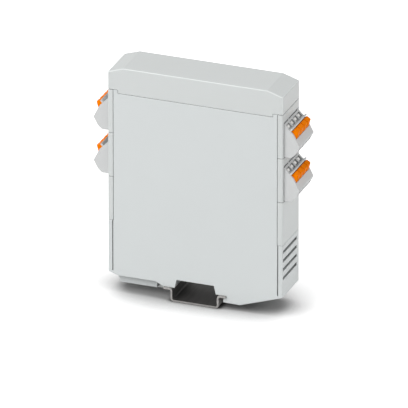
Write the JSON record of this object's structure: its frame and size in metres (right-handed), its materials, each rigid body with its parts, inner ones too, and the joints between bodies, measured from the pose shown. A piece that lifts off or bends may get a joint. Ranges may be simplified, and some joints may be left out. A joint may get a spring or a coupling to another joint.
{
  "type": "din rail enclosure",
  "caption": "Slim rail-mounted electronics housing with a push-fit front cap, side plugs with push levers, vent slots and a sprung foot catch on a short rail.",
  "frame": {"origin": "middle of the underside of the rail's base", "axes": "+X across the front towards the right-hand plugs, +Y along the rail away from the near face, +Z away from the rail towards the cap"},
  "size_m": [0.115, 0.027, 0.1292],
  "materials": {
    "housing_plastic": "satin",
    "cap_plastic": "satin",
    "frame_plastic": "satin",
    "catch_plastic": "satin",
    "plug_plastic": "satin",
    "lever_plastic": "satin",
    "header_plastic": "satin",
    "board": "satin",
    "rail_steel": "zinc",
    "pin_metal": "tinned",
    "contact_metal": "tinned"
  },
  "bodies": {
    "housing": {"housing": "housing_plastic", "circuit_board": "board", "connector_frame_left_upper": "frame_plastic", "header_left_upper": "header_plastic", "header_pins_left_upper": "pin_metal", "connector_frame_left_lower": "frame_plastic", "header_left_lower": "header_plastic", "header_pins_left_lower": "pin_metal", "blank_frame_left": "frame_plastic", "connector_frame_right_upper": "frame_plastic", "header_right_upper": "header_plastic", "header_pins_right_upper": "pin_metal", "connector_frame_right_lower": "frame_plastic", "header_right_lower": "header_plastic", "header_pins_right_lower": "pin_metal", "blank_frame_right": "frame_plastic"},
    "front_cap": {"front_cap": "cap_plastic"},
    "foot_catch": {"foot_catch": "catch_plastic"},
    "rail": {"rail": "rail_steel"},
    "plug_left_upper": {"plug_left_upper": "plug_plastic", "contacts_left_upper": "contact_metal"},
    "lever_left_upper_1": {"lever_left_upper_1": "lever_plastic"},
    "lever_left_upper_2": {"lever_left_upper_2": "lever_plastic"},
    "lever_left_upper_3": {"lever_left_upper_3": "lever_plastic"},
    "lever_left_upper_4": {"lever_left_upper_4": "lever_plastic"},
    "plug_left_lower": {"plug_left_lower": "plug_plastic", "contacts_left_lower": "contact_metal"},
    "lever_left_lower_1": {"lever_left_lower_1": "lever_plastic"},
    "lever_left_lower_2": {"lever_left_lower_2": "lever_plastic"},
    "lever_left_lower_3": {"lever_left_lower_3": "lever_plastic"},
    "lever_left_lower_4": {"lever_left_lower_4": "lever_plastic"},
    "plug_right_upper": {"plug_right_upper": "plug_plastic", "contacts_right_upper": "contact_metal"},
    "lever_right_upper_1": {"lever_right_upper_1": "lever_plastic"},
    "lever_right_upper_2": {"lever_right_upper_2": "lever_plastic"},
    "lever_right_upper_3": {"lever_right_upper_3": "lever_plastic"},
    "lever_right_upper_4": {"lever_right_upper_4": "lever_plastic"},
    "plug_right_lower": {"plug_right_lower": "plug_plastic", "contacts_right_lower": "contact_metal"},
    "lever_right_lower_1": {"lever_right_lower_1": "lever_plastic"},
    "lever_right_lower_2": {"lever_right_lower_2": "lever_plastic"},
    "lever_right_lower_3": {"lever_right_lower_3": "lever_plastic"},
    "lever_right_lower_4": {"lever_right_lower_4": "lever_plastic"}
  },
  "joints": [
    {"name": "cap_pull", "type": "slide", "parent": "housing", "child": "front_cap", "axis": [0, 0, 1], "range_m": [0, 0.02]},
    {"name": "catch_release", "type": "slide", "parent": "housing", "child": "foot_catch", "axis": [-1, 0, 0], "range_m": [0, 0.004], "stiffness_N_per_m": 600},
    {"name": "rail_shift", "type": "slide", "parent": "housing", "child": "rail", "axis": [0, 1, 0], "range_m": [-0.012, 0.012]},
    {"name": "plug_left_upper_pull", "type": "slide", "parent": "housing", "child": "plug_left_upper", "axis": [-1, 0, 0], "range_m": [0, 0.011]},
    {"name": "lever_left_upper_1_push", "type": "slide", "parent": "plug_left_upper", "child": "lever_left_upper_1", "axis": [0.7071, 0, -0.7071], "range_m": [0, 0.0014], "stiffness_N_per_m": 800},
    {"name": "lever_left_upper_2_push", "type": "slide", "parent": "plug_left_upper", "child": "lever_left_upper_2", "axis": [0.7071, 0, -0.7071], "range_m": [0, 0.0014], "stiffness_N_per_m": 800},
    {"name": "lever_left_upper_3_push", "type": "slide", "parent": "plug_left_upper", "child": "lever_left_upper_3", "axis": [0.7071, 0, -0.7071], "range_m": [0, 0.0014], "stiffness_N_per_m": 800},
    {"name": "lever_left_upper_4_push", "type": "slide", "parent": "plug_left_upper", "child": "lever_left_upper_4", "axis": [0.7071, 0, -0.7071], "range_m": [0, 0.0014], "stiffness_N_per_m": 800},
    {"name": "plug_left_lower_pull", "type": "slide", "parent": "housing", "child": "plug_left_lower", "axis": [-1, 0, 0], "range_m": [0, 0.011]},
    {"name": "lever_left_lower_1_push", "type": "slide", "parent": "plug_left_lower", "child": "lever_left_lower_1", "axis": [0.7071, 0, -0.7071], "range_m": [0, 0.0014], "stiffness_N_per_m": 800},
    {"name": "lever_left_lower_2_push", "type": "slide", "parent": "plug_left_lower", "child": "lever_left_lower_2", "axis": [0.7071, 0, -0.7071], "range_m": [0, 0.0014], "stiffness_N_per_m": 800},
    {"name": "lever_left_lower_3_push", "type": "slide", "parent": "plug_left_lower", "child": "lever_left_lower_3", "axis": [0.7071, 0, -0.7071], "range_m": [0, 0.0014], "stiffness_N_per_m": 800},
    {"name": "lever_left_lower_4_push", "type": "slide", "parent": "plug_left_lower", "child": "lever_left_lower_4", "axis": [0.7071, 0, -0.7071], "range_m": [0, 0.0014], "stiffness_N_per_m": 800},
    {"name": "plug_right_upper_pull", "type": "slide", "parent": "housing", "child": "plug_right_upper", "axis": [1, 0, 0], "range_m": [0, 0.011]},
    {"name": "lever_right_upper_1_push", "type": "slide", "parent": "plug_right_upper", "child": "lever_right_upper_1", "axis": [-0.7071, 0, -0.7071], "range_m": [0, 0.0014], "stiffness_N_per_m": 800},
    {"name": "lever_right_upper_2_push", "type": "slide", "parent": "plug_right_upper", "child": "lever_right_upper_2", "axis": [-0.7071, 0, -0.7071], "range_m": [0, 0.0014], "stiffness_N_per_m": 800},
    {"name": "lever_right_upper_3_push", "type": "slide", "parent": "plug_right_upper", "child": "lever_right_upper_3", "axis": [-0.7071, 0, -0.7071], "range_m": [0, 0.0014], "stiffness_N_per_m": 800},
    {"name": "lever_right_upper_4_push", "type": "slide", "parent": "plug_right_upper", "child": "lever_right_upper_4", "axis": [-0.7071, 0, -0.7071], "range_m": [0, 0.0014], "stiffness_N_per_m": 800},
    {"name": "plug_right_lower_pull", "type": "slide", "parent": "housing", "child": "plug_right_lower", "axis": [1, 0, 0], "range_m": [0, 0.011]},
    {"name": "lever_right_lower_1_push", "type": "slide", "parent": "plug_right_lower", "child": "lever_right_lower_1", "axis": [-0.7071, 0, -0.7071], "range_m": [0, 0.0014], "stiffness_N_per_m": 800},
    {"name": "lever_right_lower_2_push", "type": "slide", "parent": "plug_right_lower", "child": "lever_right_lower_2", "axis": [-0.7071, 0, -0.7071], "range_m": [0, 0.0014], "stiffness_N_per_m": 800},
    {"name": "lever_right_lower_3_push", "type": "slide", "parent": "plug_right_lower", "child": "lever_right_lower_3", "axis": [-0.7071, 0, -0.7071], "range_m": [0, 0.0014], "stiffness_N_per_m": 800},
    {"name": "lever_right_lower_4_push", "type": "slide", "parent": "plug_right_lower", "child": "lever_right_lower_4", "axis": [-0.7071, 0, -0.7071], "range_m": [0, 0.0014], "stiffness_N_per_m": 800}
  ]
}
